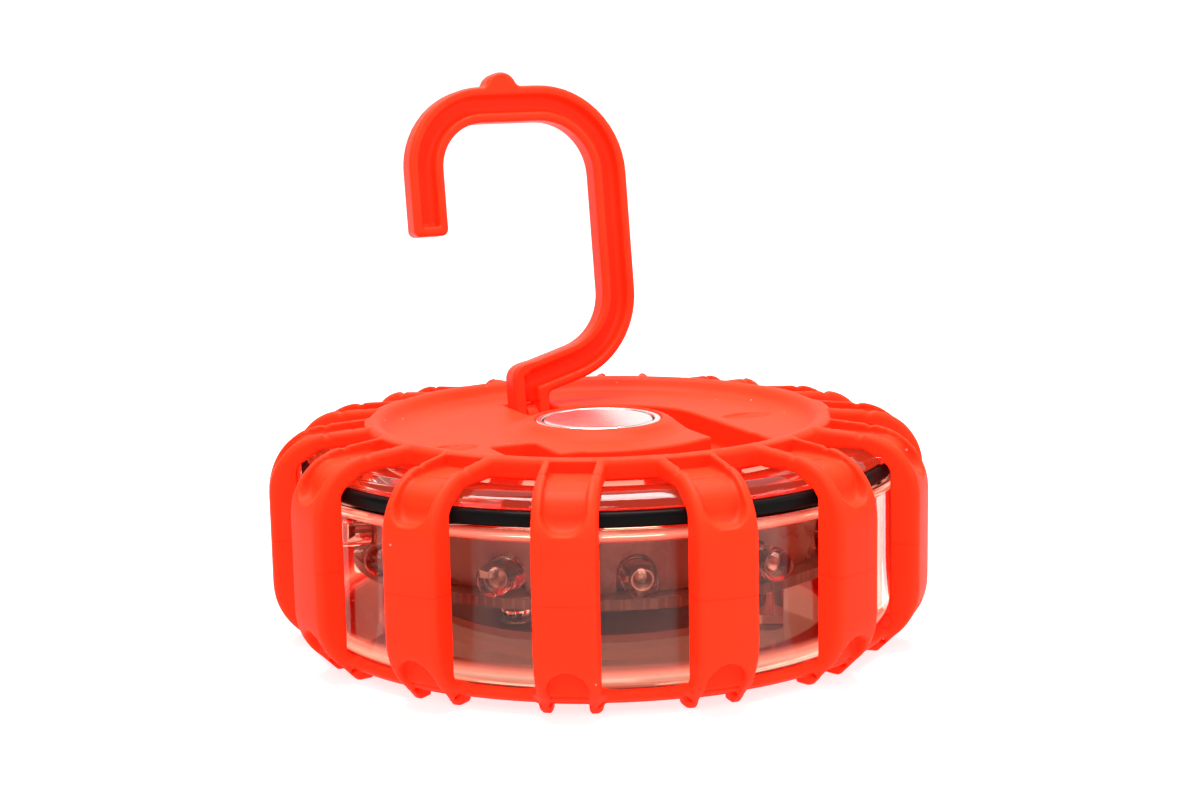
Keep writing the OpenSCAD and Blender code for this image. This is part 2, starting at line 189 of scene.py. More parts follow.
def moulded_surface(field, axes, to_space, from_space, closed_axis=None, shade=None):
    """Closed surface where a field changes sign on a grid of three parameters. Each cell that the surface
    passes holds one point, the mean of the crossings on its edges, moved along the field's slope until it
    lies on the surface. Each grid edge that crosses gives a quad. Normals are the field's slope."""
    axes = [np.asarray(a, float) for a in axes]
    grids = [a.reshape([-1 if i == k else 1 for k in range(3)]) for i, a in enumerate(axes)]
    values = np.array(np.broadcast_to(field(*grids), [len(a) for a in axes]))
    if closed_axis is not None:
        values = np.concatenate([values, np.take(values, [0], axis=closed_axis)], axis=closed_axis)
        axes[closed_axis] = np.append(axes[closed_axis], axes[closed_axis][0] + 360.0)
    inside = values < 0
    cells = [n - 1 for n in values.shape]
    count = np.zeros(cells, np.int8)
    for i in (0, 1):
        for j in (0, 1):
            for k in (0, 1):
                count += inside[i:i + cells[0], j:j + cells[1], k:k + cells[2]]
    active = (count > 0) & (count < 8)
    ids = np.full(cells, -1)
    ids[active] = np.arange(active.sum())
    corner = np.array(np.nonzero(active))
    total = np.zeros((3, corner.shape[1]))
    hits = np.zeros(corner.shape[1])
    for axis in range(3):
        for s in (0, 1):
            for t in (0, 1):
                a = corner.copy()
                a[(axis + 1) % 3] += s
                a[(axis + 2) % 3] += t
                b = a.copy()
                b[axis] += 1
                fa, fb = values[tuple(a)], values[tuple(b)]
                crosses = (fa < 0) != (fb < 0)
                share = np.where(crosses, fa / np.where(fa == fb, 1, fa - fb), 0)
                for n in range(3):
                    pa, pb = axes[n][a[n]], axes[n][b[n]]
                    total[n] += np.where(crosses, pa + share * (pb - pa), 0)
                hits += crosses
    points = np.stack(to_space(*(total / hits)), axis=1)

    quads = []
    for axis in range(3):
        b, c = (axis + 1) % 3, (axis + 2) % 3
        start = [slice(None)] * 3
        end = [slice(None)] * 3
        start[axis], end[axis] = slice(0, -1), slice(1, None)
        crosses = inside[tuple(start)] != inside[tuple(end)]
        at = np.array(np.nonzero(crosses))
        for n in (b, c):
            if n == closed_axis:
                at = at[:, at[n] < cells[n]]
            else:
                at = at[:, (at[n] > 0) & (at[n] < cells[n])]
        outward = inside[tuple(at)]
        around = []
        for s, t in ((1, 1), (0, 1), (0, 0), (1, 0)):
            cell = at.copy()
            cell[b] -= s
            cell[c] -= t
            around.append(ids[tuple(cell)])
        quad = np.stack(around, axis=1)
        quads.append(np.where(outward[:, None], quad, quad[:, ::-1]))
    quads = np.concatenate(quads)

    def value(p):
        return field(*from_space(*p.T))

    def slope(of, p, step):
        out = np.empty_like(p)
        for n in range(3):
            ahead, behind = p.copy(), p.copy()
            ahead[:, n] += step
            behind[:, n] -= step
            out[:, n] = (of(ahead) - of(behind)) / (2 * step)
        return out

    for _ in range(3):
        g = slope(value, points, 0.01)
        size = np.maximum((g * g).sum(axis=1), 0.25)
        move = (value(points) / size)[:, None] * g
        reach = np.maximum(np.linalg.norm(move, axis=1, keepdims=True), 1e-9)
        points = points - move * np.minimum(1, 0.15 / reach)
    shading = value if shade is None else (lambda p: shade(*from_space(*p.T)))
    normals = slope(shading, points, 0.04)
    normals /= np.maximum(np.linalg.norm(normals, axis=1, keepdims=True), 1e-9)
    return points, quads, normals


def new_piece(name, points, faces, material, normals=None, body=BODY, replaces=()):
    """A mesh object from arrays of points in millimetres and of faces, riding on a body."""
    mesh = bpy.data.meshes.new(name)
    if isinstance(faces, np.ndarray):
        sides = faces.shape[1]
        mesh.vertices.add(len(points))
        mesh.vertices.foreach_set("co", (points * MM).astype(np.float32).ravel())
        mesh.loops.add(faces.size)
        mesh.loops.foreach_set("vertex_index", faces.astype(np.int32).ravel())
        mesh.polygons.add(len(faces))
        mesh.polygons.foreach_set("loop_start", np.arange(0, faces.size, sides, dtype=np.int32))
    else:
        mesh.from_pydata((points * MM).tolist(), [], faces)
    mesh.update(calc_edges=True)
    mesh.validate()
    mesh.shade_smooth()
    if normals is None:
        mesh.set_sharp_from_angle(angle=SHARP_ANGLE)
    else:
        mesh.normals_split_custom_set_from_vertices(normals.tolist())
    piece = bpy.data.objects.new(name, mesh)
    bpy.context.scene.collection.objects.link(piece)
    mesh.materials.append(material)
    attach(piece, body)
    if replaces:
        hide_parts(*replaces)
    return piece


def rounded_outline(points, radius, steps=4):
    """A closed outline with each corner cut by a curve: a parabola from a point before the corner to one
    after it, with the corner as its control point."""
    ring = np.asarray(points, float)
    radii = np.broadcast_to(np.asarray(radius, float), len(ring))
    before, after = np.roll(ring, 1, axis=0) - ring, np.roll(ring, -1, axis=0) - ring
    lb, la = np.linalg.norm(before, axis=1), np.linalg.norm(after, axis=1)
    cut = np.minimum(radii, 0.48 * np.minimum(lb, la))
    a = ring + before * (cut / lb)[:, None]
    b = ring + after * (cut / la)[:, None]
    t = np.linspace(0, 1, steps + 1)[None, :, None]
    curve = (1 - t) ** 2 * a[:, None] + 2 * t * (1 - t) * ring[:, None] + t ** 2 * b[:, None]
    flat = curve.reshape(-1, 2)
    keep = np.linalg.norm(flat - np.roll(flat, 1, axis=0), axis=1) > 1e-5
    return flat[keep]


def revolved(profile, steps):
    """Closed outline (radius, height) turned about +Z: (r sin a, -r cos a, h) for each turn a. Points on the
    axis are shared."""
    profile = np.asarray(profile, float)
    a = np.linspace(0, 2 * math.pi, steps, endpoint=False)
    r, h = profile[:, 0][:, None], profile[:, 1][:, None]
    grid = np.stack([r * np.sin(a), -r * np.cos(a), np.broadcast_to(h, (len(profile), steps))], axis=2)
    points = grid.reshape(-1, 3)
    i = np.arange(len(profile))[:, None]
    j = np.arange(steps)[None, :]
    n, m = (i + 1) % len(profile), (j + 1) % steps
    quads = np.stack([i * steps + j, i * steps + m, n * steps + m, n * steps + j], axis=2).reshape(-1, 4)
    area = np.sum(profile[:, 0] * np.roll(profile[:, 1], -1) - np.roll(profile[:, 0], -1) * profile[:, 1])
    if area < 0:
        quads = quads[:, ::-1]
    return compact(points, merged_faces(points, quads))


def merged_faces(points, quads):
    """Faces with the points that lie on one spot shared, and flat corners dropped."""
    key = np.round(points, 5)
    _, first, same = np.unique(key, axis=0, return_index=True, return_inverse=True)
    out = []
    for face in first[same.reshape(-1)][quads].tolist():
        loop = [v for n, v in enumerate(face) if v != face[n - 1]]
        if len(loop) > 2:
            out.append(loop)
    return out


def compact(points, faces):
    """Points that no face uses are dropped."""
    used = sorted({v for f in faces for v in f})
    at = {v: n for n, v in enumerate(used)}
    return points[used], [[at[v] for v in f] for f in faces]


def joined(parts):
    """Several (points, faces) pairs as one."""
    points, faces, base = [], [], 0
    for p, f in parts:
        points.append(p)
        faces += [[v + base for v in face] for face in (f.tolist() if isinstance(f, np.ndarray) else f)]
        base += len(p)
    return np.concatenate(points), faces


def block(low, high):
    """A rectangular block between two corners, with its six faces outwards."""
    low, high = np.asarray(low, float), np.asarray(high, float)
    pick = np.array([[i, j, k] for k in (0, 1) for j in (0, 1) for i in (0, 1)])
    points = low + pick * (high - low)
    faces = [[0, 2, 3, 1], [4, 5, 7, 6], [0, 1, 5, 4], [2, 6, 7, 3], [0, 4, 6, 2], [1, 3, 7, 5]]
    return points, faces


def turned(points, degrees):
    """Points turned about +Z, from -Y towards +X."""
    a = math.radians(degrees)
    c, s = math.cos(a), math.sin(a)
    x, y, z = points.T
    return np.stack([x * c - y * s, x * s + y * c, z], axis=1)


# ---------------------------------------------------------------- materials
def group(name, inputs, outputs):
    """An empty node group with named inputs (name, socket type, default) and outputs (name, socket type)."""
    tree = bpy.data.node_groups.new(name, "ShaderNodeTree")
    for label, kind, default in inputs:
        socket = tree.interface.new_socket(label, in_out="INPUT", socket_type=kind)
        socket.default_value = default
    for label, kind in outputs:
        tree.interface.new_socket(label, in_out="OUTPUT", socket_type=kind)
    return tree, tree.nodes.new("NodeGroupInput"), tree.nodes.new("NodeGroupOutput")


def feed(tree, socket, value):
    """A socket set to a number or a colour, or linked to another node's output."""
    if isinstance(value, (int, float)):
        socket.default_value = value
    elif isinstance(value, tuple):
        socket.default_value = (*value[:3], 1.0)
    else:
        tree.links.new(value, socket)


def math_node(tree, operation, a, b=None, clamp=False):
    """A Math node fed by sockets or numbers."""
    node = tree.nodes.new("ShaderNodeMath")
    node.operation = operation
    node.use_clamp = clamp
    feed(tree, node.inputs[0], a)
    if b is not None:
        feed(tree, node.inputs[1], b)
    return node.outputs[0]


def noise_node(tree, vector, scale, detail=3.0, rough=0.55):
    """A Noise Texture on the given coordinates; scale is in features per metre."""
    node = tree.nodes.new("ShaderNodeTexNoise")
    feed(tree, node.inputs["Scale"], scale)
    node.inputs["Detail"].default_value = detail
    node.inputs["Roughness"].default_value = rough
    tree.links.new(vector, node.inputs["Vector"])
    return node.outputs["Fac"]


def mix_colour(tree, factor, a, b):
    """A colour Mix node fed by sockets or colours."""
    node = tree.nodes.new("ShaderNodeMix")
    node.data_type = "RGBA"
    for socket, value in ((node.inputs[0], factor), (node.inputs[6], a), (node.inputs[7], b)):
        feed(tree, socket, value)
    return node.outputs[2]


def scaled(colour, by, plus=0.0):
    """A darker or lighter colour, never above one."""
    return tuple(min(1.0, c * by + plus) for c in colour)


def xyz(tree, vector):
    """The three parts of a vector."""
    split = tree.nodes.new("ShaderNodeSeparateXYZ")
    tree.links.new(vector, split.inputs[0])
    return split.outputs["X"], split.outputs["Y"], split.outputs["Z"]


def from_axis(tree, x, y):
    """Distance from the +Z axis."""
    flat = tree.nodes.new("ShaderNodeCombineXYZ")
    tree.links.new(x, flat.inputs["X"])
    tree.links.new(y, flat.inputs["Y"])
    length = tree.nodes.new("ShaderNodeVectorMath")
    length.operation = "LENGTH"
    tree.links.new(flat.outputs[0], length.inputs[0])
    return length.outputs["Value"]


def away_from(tree, z, height):
    """How far a height is from a given one."""
    return math_node(tree, "ABSOLUTE", math_node(tree, "SUBTRACT", z, height))


def band_at(tree, z, height, half, radius, inner):
    """One at a height, fading to nothing at half a band from it, and only outside a radius."""
    share = math_node(tree, "DIVIDE", away_from(tree, z, height), half)
    near = math_node(tree, "SUBTRACT", 1.0, share, clamp=True)
    return math_node(tree, "MULTIPLY", near, math_node(tree, "GREATER_THAN", radius, inner))


def moulded_group():
    """Moulded finish: fine grain for the bump, soft blotches for colour and gloss, and a sparse dust mask."""
    name = "moulded_finish"
    if name in bpy.data.node_groups:
        return bpy.data.node_groups[name]
    tree, inp, out = group(
        name, [("Vector", "NodeSocketVector", (0, 0, 0)), ("Grain", "NodeSocketFloat", 2500.0)],
        [("Height", "NodeSocketFloat"), ("Blotches", "NodeSocketFloat"), ("Dust", "NodeSocketFloat")])
    at = inp.outputs["Vector"]
    specks = tree.nodes.new("ShaderNodeTexVoronoi")
    specks.inputs["Scale"].default_value = 260.0
    tree.links.new(at, specks.inputs["Vector"])
    near = math_node(tree, "LESS_THAN", specks.outputs["Distance"], 0.045)
    rare = math_node(tree, "GREATER_THAN", noise_node(tree, at, 90.0), 0.56)
    for label, made in (("Height", noise_node(tree, at, inp.outputs["Grain"], 4.0, 0.5)),
                        ("Blotches", noise_node(tree, at, 60.0, 5.0, 0.5)),
                        ("Dust", math_node(tree, "MULTIPLY", near, rare))):
        tree.links.new(made, out.inputs[label])
    return tree


def once(make):
    """A maker of materials that gives back the one already made under a name."""
    def found_or_made(name, *args, **kwargs):
        return bpy.data.materials.get(name) or make(name, *args, **kwargs)
    return found_or_made


def start_material(name):
    """A new node material: it, its tree, its Principled BSDF and Object coordinates."""
    material = bpy.data.materials.new(name)
    material.use_nodes = True
    tree = material.node_tree
    coords = tree.nodes.new("ShaderNodeTexCoord")
    return material, tree, tree.nodes["Principled BSDF"], coords.outputs["Object"]


def add_bump(tree, shader, height, strength, distance):
    """A Bump node into the shader's Normal."""
    bump = tree.nodes.new("ShaderNodeBump")
    bump.inputs["Strength"].default_value = strength
    bump.inputs["Distance"].default_value = distance
    tree.links.new(height, bump.inputs["Height"])
    tree.links.new(bump.outputs["Normal"], shader.inputs["Normal"])


def set_glow(tree, shader, colour, strength):
    """Emission of a colour or of a colour socket."""
    feed(tree, shader.inputs["Emission Color"], colour)
    shader.inputs["Emission Strength"].default_value = strength


# heights and radii in metres in the clear case's and the jacket's own coordinates: the jacket's mould line; the
# clear case's painted shade on its flat bottom and its painted highlights on the rounded bottom edge and top
# flange
SEAM_Z, SEAM_HALF = 0.0173, 0.00013
SHADED_BOTTOM_H, SHADED_BOTTOM_R = 0.0019, 0.0425
EDGE_HIGHLIGHT_H, EDGE_HIGHLIGHT_HALF, EDGE_HIGHLIGHT_R = 0.0024, 0.0021, 0.0445
FLANGE_HIGHLIGHT_H, FLANGE_HIGHLIGHT_HALF, FLANGE_HIGHLIGHT_R = 0.0232, 0.0010, 0.0469


@once
def moulded_material(name, colour, rough=0.5, grain=2500.0, bump=0.12, seam_z=None, glow=0.0, spec=0.5, dust=0.6):
    """A moulded plastic or rubber: grain, blotches and dust over one colour, with an optional mould line and
    an optional glow that stands in for light passed on inside it."""
    material, tree, shader, at = start_material(name)
    finish = tree.nodes.new("ShaderNodeGroup")
    finish.node_tree = moulded_group()
    finish.inputs["Grain"].default_value = grain
    tree.links.new(at, finish.inputs["Vector"])
    blotches = finish.outputs["Blotches"]
    base = mix_colour(tree, blotches, scaled(colour, 0.86), scaled(colour, 1.06, 0.004))
    dusty = math_node(tree, "MULTIPLY", finish.outputs["Dust"], dust)
    base = mix_colour(tree, dusty, base, scaled(colour, 1.0, 0.35))
    gloss = tree.nodes.new("ShaderNodeMapRange")
    gloss.inputs["To Min"].default_value = rough - 0.07
    gloss.inputs["To Max"].default_value = rough + 0.07
    tree.links.new(blotches, gloss.inputs["Value"])
    tree.links.new(gloss.outputs["Result"], shader.inputs["Roughness"])
    shader.inputs["Specular IOR Level"].default_value = spec
    height = finish.outputs["Height"]
    if seam_z is not None:
        line = math_node(tree, "LESS_THAN", away_from(tree, xyz(tree, at)[2], seam_z), SEAM_HALF)
        height = math_node(tree, "ADD", height, math_node(tree, "MULTIPLY", line, 3.0))
        base = mix_colour(tree, math_node(tree, "MULTIPLY", line, 0.3), base, scaled(colour, 0.15))
    tree.links.new(base, shader.inputs["Base Color"])
    add_bump(tree, shader, height, bump, 0.0002)
    # painted light: an even red glow lifts the whole part, its shaded recesses too
    if glow:
        set_glow(tree, shader, (colour[0], colour[1] * 0.3, colour[2] * 0.3), glow)
    return material


def painted_case_light_and_shade(tree, shader, at, tint, floor_z):
    """Painted light on the clear case, standing in for light caught inside its wall: a glow paints highlights on
    its rounded bottom edge and, weaker, on its top flange, and a darker tint paints shade on its flat bottom.
    Sets the glow and gives back the tint with the painted shade."""
    x, y, z = xyz(tree, at)
    radius = from_axis(tree, x, y)
    # painted shade: the case's flat bottom, inside its rounded edge, gets a dark tint below
    low = math_node(tree, "LESS_THAN", z, floor_z + SHADED_BOTTOM_H)
    middle = math_node(tree, "LESS_THAN", radius, SHADED_BOTTOM_R)
    # painted highlights: glowing bands round the rounded bottom edge and, weaker, round the top flange
    edge = band_at(tree, z, floor_z + EDGE_HIGHLIGHT_H, EDGE_HIGHLIGHT_HALF, radius, EDGE_HIGHLIGHT_R)
    flange_highlight = band_at(tree, z, floor_z + FLANGE_HIGHLIGHT_H, FLANGE_HIGHLIGHT_HALF, radius, FLANGE_HIGHLIGHT_R)
    edge = math_node(tree, "MAXIMUM", edge, math_node(tree, "MULTIPLY", flange_highlight, 0.7))
    band = mix_colour(tree, edge, (0.0, 0.0, 0.0), (0.95, 0.10, 0.045))
    highlight_core = math_node(tree, "POWER", edge, 1.5)
    set_glow(tree, shader, mix_colour(tree, highlight_core, band, (1.0, 0.46, 0.32)), 0.9)
    return mix_colour(tree, math_node(tree, "MULTIPLY", low, middle), tint, (0.42, 0.17, 0.12))


@once
def clear_material(name, tint, rough=0.03, ior=1.46, wave=0.02, spec=0.5, glow=None, floor_z=None):
    """Clear plastic: refracting, with a faint waviness and fine scratches in its gloss. A glow paints light
    evenly over it. A floor_z adds the case's painted highlights on its rounded bottom edge and top flange, and
    painted shade on its flat bottom."""
    material, tree, shader, at = start_material(name)
    shader.inputs["Transmission Weight"].default_value = 1.0
    shader.inputs["IOR"].default_value = ior
    shader.inputs["Specular IOR Level"].default_value = spec
    # painted light: a constant glow, given only for the lid, stands in for the jacket's orange light seen in the
    # clear plastic
    if glow is not None:
        set_glow(tree, shader, glow, 1.0)
    tinted = mix_colour(tree, noise_node(tree, at, 40.0), tint, scaled(tint, 0.94))
    if floor_z is not None:
        tinted = painted_case_light_and_shade(tree, shader, at, tinted, floor_z)
    tree.links.new(tinted, shader.inputs["Base Color"])
    scratch = noise_node(tree, at, 700.0, 6.0, 0.7)
    mark = math_node(tree, "MULTIPLY", math_node(tree, "GREATER_THAN", scratch, 0.66), 0.10)
    tree.links.new(math_node(tree, "ADD", mark, rough), shader.inputs["Roughness"])
    add_bump(tree, shader, noise_node(tree, at, 90.0, 2.0), wave, 0.0006)
    return material


@once
def metal_material(name, colour, rough=0.2, turned_grain=True, bump=0.04):
    """Plated or turned metal: fine lines, in rings about +Z where it is turned, with soft stains in the gloss."""
    material, tree, shader, at = start_material(name)
    shader.inputs["Metallic"].default_value = 1.0
    stain = noise_node(tree, at, 160.0, 5.0)
    tree.links.new(mix_colour(tree, stain, scaled(colour, 0.85), colour), shader.inputs["Base Color"])
    if turned_grain:
        x, y, _ = xyz(tree, at)
        rings = tree.nodes.new("ShaderNodeCombineXYZ")
        tree.links.new(from_axis(tree, x, y), rings.inputs["X"])
        lines = noise_node(tree, rings.outputs[0], 9000.0, 2.0)
    else:
        lines = noise_node(tree, at, 4000.0, 3.0)
    tree.links.new(math_node(tree, "ADD", math_node(tree, "MULTIPLY", stain, 0.16), rough - 0.06),
                   shader.inputs["Roughness"])
    add_bump(tree, shader, lines, bump, 0.0001)
    return material


@once
def board_material(name, colour):
    """Solder mask over a brick pattern of lighter tracks, with grime in its colour and gloss."""
    material, tree, shader, at = start_material(name)
    cells = tree.nodes.new("ShaderNodeTexBrick")
    cells.inputs["Scale"].default_value = 240.0
    cells.inputs["Mortar Size"].default_value = 0.035
    tones = {"Color1": colour, "Color2": scaled(colour, 0.9), "Mortar": scaled(colour, 1.7, 0.01)}
    for label, tone in tones.items():
        feed(tree, cells.inputs[label], tone)
    tree.links.new(at, cells.inputs["Vector"])
    grime = noise_node(tree, at, 300.0, 5.0)
    tree.links.new(mix_colour(tree, grime, cells.outputs["Color"], colour), shader.inputs["Base Color"])
    tree.links.new(math_node(tree, "ADD", math_node(tree, "MULTIPLY", grime, 0.2), 0.25),
                   shader.inputs["Roughness"])
    add_bump(tree, shader, cells.outputs["Fac"], 0.15, 0.0001)
    return material


def materials():
    """The flare's materials by the record's slot names, made from the colour settings. The lid and the lamps'
    frames have looks of their own."""
    colours = bpy.context.scene.flare_colours
    orange, tray, case = tuple(colours.jacket), tuple(colours.tray), tuple(colours.case)
    return {
        "jacket_rubber": moulded_material(
            "jacket_rubber_finish", orange, 0.5, 2200.0, 0.10, SEAM_Z, 0.4, spec=0.06),
        "hook_plastic": moulded_material("hook_plastic_finish", orange, 0.42, 2600.0, 0.05, glow=0.4, spec=0.10),
        "button_rubber": moulded_material("button_rubber_finish", orange, 0.6, 2200.0, 0.12),
        "gasket_rubber": moulded_material(
            "gasket_finish", (0.002, 0.0015, 0.0015), 0.4, 1800.0, 0.08, spec=0.05, dust=0.1),
        "white_plastic": moulded_material("white_plastic_finish", (0.55, 0.42, 0.38), 0.4, 2600.0, 0.06),
        "tray_plastic": moulded_material("tray_finish", tray, 0.28, 1500.0, 0.05),
        "chip_black": moulded_material("chip_finish", (0.02, 0.02, 0.022), 0.5, 5000.0, 0.2),
        "capacitor_sleeve": moulded_material("sleeve_finish", (0.03, 0.05, 0.16), 0.3, 2600.0, 0.05),
        "cell_jacket": metal_material("cell_film_finish", (0.42, 0.41, 0.42), 0.3, False),
        # the case colour on the clear case and lid is painted orange bounce light
        "clear_plastic": clear_material("clear_case_finish", case, ior=1.28, spec=0.2, floor_z=CASE_Z * MM),
        "clear_lid": clear_material("clear_lid_finish", case, ior=1.4, glow=(0.07, 0.005, 0.002)),
        "led_lens": clear_material("lamp_epoxy_finish", (1.0, 0.97, 0.95), 0.02, 1.52, 0.01),
        "nickel_plate": metal_material("nickel_finish", (0.80, 0.77, 0.73), 0.2),
        "screw_steel": metal_material("screw_finish", (0.6, 0.6, 0.61), 0.3, False, 0.08),
        "lamp_frame": metal_material("lamp_frame_finish", (0.42, 0.30, 0.26), 0.3, False, 0.05),
        "contact_metal": metal_material("contact_finish", (0.72, 0.70, 0.65), 0.28, False, 0.05),
        "board_laminate": board_material("board_finish", (0.15, 0.085, 0.065)),
    }


# ---------------------------------------------------------------- the jacket's form
RIB_PHASE = -4.0
RIM_R = 36.9
RIM_TOP = float(crown_high[2])
FLOOR_Z = RIM_TOP - 2.2
SLAB_Z = float(crown_low[2])
SLOT_Z = SLAB_Z + 0.7
LID_TOP = float(lid_high[2])
RING_Z = float(ring_low[2])
RING_TOP = float(ring_high[2])
CASE_Z = float(case_low[2])
AXIS_Y = float(pin_low[1] + pin_high[1]) / 2
AXIS_Z = float(pin_low[2] + pin_high[2]) / 2
FOOT_X = float(pin_low[0] + pin_high[0]) / 2
FOOT_W = float(pin_high[0] - pin_low[0]) + 0.4
CUP_R = float(cup_high[0])
LEAN = math.radians(8.0)
BAR_W, BAR_T = 6.0, 4.2
LOW_SLOPE = math.radians(16.0)
BEND_X, BEND_R = 2.9, 12.3
LOW_BEND_H, HIGH_BEND_H = 20.45, 40.35
TIP_BEND_X, TIP_BEND_H, TIP_BEND_R = -7.4, 42.25, 10.4
TIP_X, TIP_H = -17.8, 31.3
NUB_X, NUB_H, NUB_R = -3.5, 55.2, 2.8
DIMPLES = ((-27.0, -5.5), (25.0, -3.5))
DIMPLE_LONG, DIMPLE_WIDE, DIMPLE_DEEP = 4.3, 2.4, 0.7
COLLAR_R, COLLAR_H, COLLAR_ROOM_R = 13.4, 1.5, 20.0
RECESS_R, SLOT_REACH = 33.0, 34.6
GROOVE_R, GROOVE_Z, GROOVE_SIZE = 43.4, 34.6, 0.8
SCOOP_HALF, SCOOP_Z = 3.1, 30.0
POCKET_HALF, POCKET_R = 3.3, 43.6
ARCH_HALF, ARCH_Z, ARCH_SLIT_HALF = 2.9, 4.8, 2.6


def to_round(x, y, z):
    """Radius, turn from -Y towards +X in degrees, and height."""
    return np.hypot(x, y), np.degrees(np.arctan2(x, -y)), z


def from_round(r, a, z):
    """Back to x, y, z."""
    t = np.radians(a)
    return r * np.sin(t), -r * np.cos(t), z + 0 * r


def hook_path():
    """Middle line of the hook's bar in its own plane: (across, height above the pin). It rises from the foot
    at a slope, round two wide bends, along the top, and down to the tip."""
    low = arc(BEND_X, LOW_BEND_H, BEND_R, -90 + math.degrees(LOW_SLOPE), 0, 14)
    foot_end = low[0] - 8.0 * np.array([math.cos(LOW_SLOPE), math.sin(LOW_SLOPE)])
    return np.concatenate([
        [foot_end], low, arc(BEND_X, HIGH_BEND_H, BEND_R, 0, 90, 14),
        arc(TIP_BEND_X, TIP_BEND_H, TIP_BEND_R, 90, 180, 14), [[TIP_X, 30.0]],
    ])


def hook_outline(x, h, extra=0.0):
    """Distance to the hook's outline: a band along its path with a flat end, a foot with one round corner
    and a nub on top."""
    band = path_distance(hook_path(), x, h) - BAR_W / 2 - extra
    band = np.where(x < TIP_BEND_X, rounded_and(band, TIP_H - extra - h, 1.1), band)
    band = np.maximum(band, np.where(h < 16, FOOT_X - FOOT_W / 2 + 1.0 - extra - x, -FAR))
    foot = rounded_and(FOOT_X - FOOT_W / 2 - x - extra, h - 9.1 - extra, 2.6)
    foot = np.maximum(foot, np.maximum(x - FOOT_X - FOOT_W / 2 - extra, -2.3 - extra - h))
    nub = np.hypot(x - NUB_X, h - NUB_H) - NUB_R - extra
    return filleted_or(filleted_or(band, foot, 0.6), nub, 0.7)


def slot_outline(x, y):
    """Distance to the slot in plan: the folded hook's outline with room round it, opened to the rim in
    front of the island round the magnet."""
    radius = np.hypot(x, y)
    reach = radius - SLOT_REACH
    hook_room = hook_outline(x, AXIS_Y - y, 0.45)
    front = np.maximum(reach, box_distance(x, y, -1.1, -25.8, 16.5 + 3.35, 8.8))
    crescent = rounded_and(front, COLLAR_ROOM_R - radius, 0.8)
    lane = np.maximum(reach, box_distance(x, y, TIP_X, -21.1, 3.45, 13.5))
    return filleted_or(filleted_or(hook_room, crescent, 0.8), lane, 0.8)


def rib_outline():
    """Outline of a rib in section, closed through the flare's axis: feet, upright side, long shoulder, rim."""
    side = float(ribs_high[0])
    return np.concatenate([
        [[0, RING_Z], [43.6, RING_Z], [43.6, 0.05], [44.2, 0.0], [46.0, 0.0]],
        arc(side - 10, 10.4, 10, -52, 0, 10),
        arc(side - 9.6, 24.5, 9.6, 0, 84, 16),
        [[RIM_R, RIM_TOP - 0.12], [RIM_R - 0.8, RIM_TOP], [0, RIM_TOP]],
    ])


CASE_ROOM = np.concatenate([[[0, CASE_Z - 0.1]], arc(43.0, CASE_Z + 3.2, 3.3, -90, 0, 8), [[46.3, 25], [0, 25]]])
CAVITY = [
    [0, SLAB_Z], [RIM_R - 0.6, SLAB_Z], [RIM_R - 0.5, LID_TOP + 0.12], [43.8, LID_TOP + 0.12], [46.6, 29.9],
    [47.5, 29.3], [48.0, 28.4], [48.0, RING_TOP], [47.2, RING_TOP], [47.2, RING_Z + 0.01], [0, RING_Z + 0.01],
]
ARCH_BACK = [[47.2, -3], [47.2, 1.9], [48.8, 3.6], [49.3, 9], [60, 9], [60, -3]]
SCOOP_FLOOR = rounded_outline([
    [43.4, FLOOR_Z - 0.1], [46.6, 32.4], [48.2, 31.2], [48.9, 29.6], [49.2, 28.4], [50.0, 27.4], [54, 26.4],
    [60, 26], [60, 50], [43.4, 50],
], [0] + [0.9] * 6 + [0] * 3, 4)


